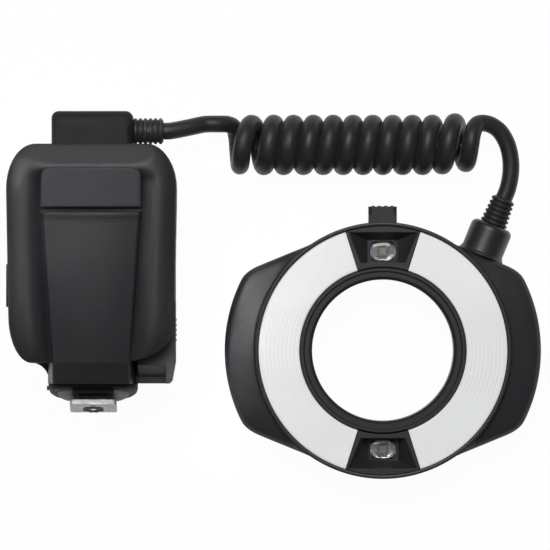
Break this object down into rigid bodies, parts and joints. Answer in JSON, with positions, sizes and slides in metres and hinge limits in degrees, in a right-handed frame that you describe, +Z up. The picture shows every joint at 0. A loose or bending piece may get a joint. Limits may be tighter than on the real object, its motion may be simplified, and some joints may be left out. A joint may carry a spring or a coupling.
{
  "type": "macro ring flash",
  "caption": "Macro ring flash: a shoe-mounted control unit joined by a curly cord to a ring-shaped flash head with side ears, white diffusers and focusing lamps round a lens bore.",
  "frame": {"origin": "middle of the table area that the part covers, at the table, without the cord", "axes": "+X from the control unit to the ring head, +Y from the shoe towards the cord, +Z up off the table, the way that the lamps face"},
  "size_m": [0.2142, 0.1472, 0.0583],
  "materials": {
    "charcoal_plastic": "fine grain",
    "black_plastic": "fine grain",
    "grey_plastic": "satin",
    "black_rubber": "matte",
    "grey_rubber": "matte",
    "steel": "brushed",
    "contact_metal": "plated",
    "diffuser_white": "ridged, frosted",
    "bright_metal": "bright",
    "clear": "clear",
    "lamp": "clear cast",
    "board": "lacquered",
    "can": "satin"
  },
  "bodies": {
    "control_unit": {"front_shell": "charcoal_plastic", "front_plate": "charcoal_plastic", "front_panel": "charcoal_plastic", "control_panel": "charcoal_plastic", "rear_shell": "black_plastic", "battery_holder": "black_plastic", "connector_housing": "black_plastic", "power_socket": "black_plastic", "foot_base": "black_plastic", "contact_block": "black_plastic", "lcd_module": "grey_plastic", "curly_cord": "black_rubber", "control_strain_relief": "black_rubber", "weather_skirt": "grey_rubber", "shoe_foot": "steel", "foot_screws": "steel", "housing_screws": "steel", "contact_pins": "contact_metal", "battery_contacts": "contact_metal", "lcd_window": "clear", "main_circuit_board": "board", "main_capacitor": "can"},
    "function_button_1": {"function_button_1": "grey_plastic"},
    "function_button_2": {"function_button_2": "grey_plastic"},
    "function_button_3": {"function_button_3": "grey_plastic"},
    "function_button_4": {"function_button_4": "grey_plastic"},
    "mode_button": {"mode_button": "grey_plastic"},
    "test_button": {"test_button": "grey_plastic"},
    "set_button": {"set_button": "grey_plastic"},
    "select_dial": {"select_dial": "black_plastic"},
    "power_switch": {"power_switch": "grey_plastic"},
    "battery_door_pin": {"battery_door_pin": "steel"},
    "battery_door": {"battery_door": "black_plastic", "door_contacts": "contact_metal"},
    "power_socket_cover": {"power_socket_cover": "black_rubber"},
    "lock_lever": {"lock_lever": "black_plastic"},
    "lock_pin": {"lock_pin": "steel"},
    "lock_release_button": {"lock_release_button": "grey_plastic"},
    "ring_head": {"ring_rear_cover": "black_plastic", "ring_front_cover": "charcoal_plastic", "inner_sleeve": "black_plastic", "left_diffuser": "diffuser_white", "right_diffuser": "diffuser_white", "left_reflector": "bright_metal", "right_reflector": "bright_metal", "left_flash_tube": "clear", "right_flash_tube": "clear", "upper_lamp_housing": "black_plastic", "lower_lamp_housing": "black_plastic", "upper_lamp_lens": "clear", "lower_lamp_lens": "clear", "lamp_leds": "lamp", "latch_springs": "steel", "ring_circuit_board": "board", "ring_screws": "steel", "cord_boss": "black_plastic", "ring_strain_relief": "black_rubber"},
    "release_latch": {"release_button": "black_plastic", "latch_plate": "steel"}
  },
  "joints": [
    {"name": "cord_stretch", "type": "slide", "parent": "control_unit", "child": "ring_head", "axis": [1, 0, 0], "range_m": [0, 0.12], "stiffness_N_per_m": 8, "deforming": ["curly_cord"]},
    {"name": "release_press", "type": "slide", "parent": "ring_head", "child": "release_latch", "axis": [0, -1, 0], "range_m": [0, 0.0025], "stiffness_N_per_m": 300, "deforming": ["latch_springs"]},
    {"name": "function_button_1_press", "type": "slide", "parent": "control_unit", "child": "function_button_1", "axis": [0, 0, 1], "range_m": [0, 0.0008], "stiffness_N_per_m": 400},
    {"name": "function_button_2_press", "type": "slide", "parent": "control_unit", "child": "function_button_2", "axis": [0, 0, 1], "range_m": [0, 0.0008], "stiffness_N_per_m": 400},
    {"name": "function_button_3_press", "type": "slide", "parent": "control_unit", "child": "function_button_3", "axis": [0, 0, 1], "range_m": [0, 0.0008], "stiffness_N_per_m": 400},
    {"name": "function_button_4_press", "type": "slide", "parent": "control_unit", "child": "function_button_4", "axis": [0, 0, 1], "range_m": [0, 0.0008], "stiffness_N_per_m": 400},
    {"name": "mode_button_press", "type": "slide", "parent": "control_unit", "child": "mode_button", "axis": [0, 0, 1], "range_m": [0, 0.0008], "stiffness_N_per_m": 400},
    {"name": "test_button_press", "type": "slide", "parent": "control_unit", "child": "test_button", "axis": [0, 0, 1], "range_m": [0, 0.0008], "stiffness_N_per_m": 400},
    {"name": "set_button_press", "type": "slide", "parent": "control_unit", "child": "set_button", "axis": [0, 0, 1], "range_m": [0, 0.0008], "stiffness_N_per_m": 400},
    {"name": "select_dial_turn", "type": "hinge", "parent": "control_unit", "child": "select_dial", "pos_m": [-0.0727, 0.0047, 0.003], "axis": [0, 0, -1], "continuous": true},
    {"name": "power_switch_slide", "type": "slide", "parent": "control_unit", "child": "power_switch", "axis": [1, 0, 0], "range_m": [-0.0035, 0.0035]},
    {"name": "battery_door_slide", "type": "slide", "parent": "control_unit", "child": "battery_door_pin", "axis": [0, -1, 0], "range_m": [0, 0.004]},
    {"name": "battery_door_swing", "type": "hinge", "parent": "battery_door_pin", "child": "battery_door", "pos_m": [-0.04127, 0.0073, 0.0277], "axis": [0, -1, 0], "range_deg": [0, 85]},
    {"name": "power_socket_cover_swing", "type": "hinge", "parent": "control_unit", "child": "power_socket_cover", "pos_m": [-0.1067, 0.012, 0.018], "axis": [0, 0, -1], "range_deg": [0, 110]},
    {"name": "lock_lever_swing", "type": "hinge", "parent": "control_unit", "child": "lock_lever", "pos_m": [-0.0722, -0.0353, 0.025], "axis": [0, -0.9816, 0.1908], "range_deg": [0, 40]},
    {"name": "lock_pin_drop", "type": "slide", "parent": "control_unit", "child": "lock_pin", "axis": [0, -0.9816, 0.1908], "range_m": [0, 0.0015]},
    {"name": "lock_release_press", "type": "slide", "parent": "control_unit", "child": "lock_release_button", "axis": [1, 0, 0], "range_m": [0, 0.0006], "stiffness_N_per_m": 300}
  ],
  "couplings": [
    {"joint": "lock_pin_drop", "follows": "lock_lever_swing", "m_per_rad": 0.00214}
  ]
}
